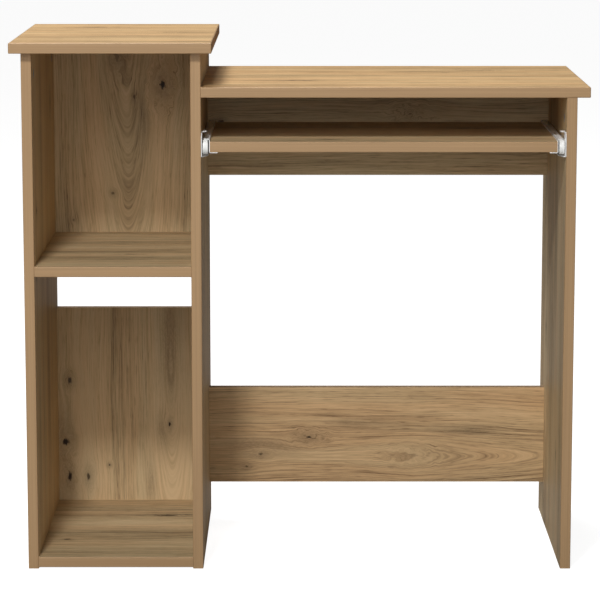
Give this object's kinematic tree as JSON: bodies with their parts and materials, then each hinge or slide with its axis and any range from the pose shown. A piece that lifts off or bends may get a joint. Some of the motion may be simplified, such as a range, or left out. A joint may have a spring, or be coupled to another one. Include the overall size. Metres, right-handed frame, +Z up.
{
  "type": "computer desk with keyboard tray",
  "caption": "Board desk with a tall open two-bay cabinet at the left, a lower desktop at the right and a keyboard tray that pulls out on roller slides.",
  "frame": {"origin": "on the floor, under the middle of the whole desk's bounding box", "axes": "+X to the right seen from the front, +Y to the back, +Z up"},
  "size_m": [0.88, 0.434, 0.818],
  "materials": {
    "oak_board": "matt oak-pattern melamine with fine pores",
    "edge_band": "matt oak-pattern plastic edging",
    "slide_steel": "white epoxy-coated steel",
    "roller_plastic": "white nylon",
    "rivet_steel": "zinc-plated",
    "screw_steel": "zinc-plated",
    "cam_zinc": "die-cast zinc",
    "dowel_wood": "beech"
  },
  "bodies": {
    "root": {"cabinet_back_lower": "oak_board", "cabinet_back_upper": "oak_board", "cabinet_bottom": "oak_board", "cabinet_bottom_edge_band": "edge_band", "cabinet_left_side": "oak_board", "cabinet_left_side_edge_band": "edge_band", "cabinet_right_side": "oak_board", "cabinet_right_side_edge_band": "edge_band", "cabinet_shelf": "oak_board", "cabinet_shelf_edge_band": "edge_band", "cabinet_top": "oak_board", "cabinet_top_edge_band": "edge_band", "cam_bolts": "screw_steel", "cam_locks": "cam_zinc", "desk_right_side": "oak_board", "desk_right_side_edge_band": "edge_band", "desktop": "oak_board", "desktop_edge_band": "edge_band", "front_roller_rivet_left": "rivet_steel", "front_roller_rivet_right": "rivet_steel", "modesty_rail_lower": "oak_board", "modesty_rail_upper": "oak_board", "slide_fixed_member_left": "slide_steel", "slide_fixed_member_right": "slide_steel", "slide_panel_screws": "screw_steel", "wooden_dowels": "dowel_wood"},
    "tray": {"keyboard_tray": "oak_board", "keyboard_tray_edge_band": "edge_band", "slide_moving_member_left": "slide_steel", "slide_moving_member_right": "slide_steel", "rear_roller_rivet_left": "rivet_steel", "rear_roller_rivet_right": "rivet_steel", "slide_tray_screws": "screw_steel"},
    "front_roller_left": {"front_roller_left": "roller_plastic"},
    "front_roller_right": {"front_roller_right": "roller_plastic"},
    "rear_roller_left": {"rear_roller_left": "roller_plastic"},
    "rear_roller_right": {"rear_roller_right": "roller_plastic"}
  },
  "joints": [
    {"name": "tray_slide", "type": "slide", "parent": "root", "child": "tray", "axis": [0, -1, 0], "range_m": [0, 0.21]},
    {"name": "front_roller_left_spin", "type": "hinge", "parent": "root", "child": "front_roller_left", "pos_m": [-0.1448, -0.185, 0.6577], "axis": [1, 0, 0], "continuous": true},
    {"name": "front_roller_right_spin", "type": "hinge", "parent": "root", "child": "front_roller_right", "pos_m": [0.3978, -0.185, 0.6577], "axis": [1, 0, 0], "continuous": true},
    {"name": "rear_roller_left_spin", "type": "hinge", "parent": "tray", "child": "rear_roller_left", "pos_m": [-0.1437, 0.085, 0.6555], "axis": [1, 0, 0], "continuous": true},
    {"name": "rear_roller_right_spin", "type": "hinge", "parent": "tray", "child": "rear_roller_right", "pos_m": [0.3967, 0.085, 0.6555], "axis": [1, 0, 0], "continuous": true}
  ],
  "couplings": [
    {"joint": "front_roller_left_spin", "follows": "tray_slide", "rad_per_m": 90.909},
    {"joint": "front_roller_right_spin", "follows": "tray_slide", "rad_per_m": 90.909},
    {"joint": "rear_roller_left_spin", "follows": "tray_slide", "rad_per_m": 90.909},
    {"joint": "rear_roller_right_spin", "follows": "tray_slide", "rad_per_m": 90.909}
  ]
}
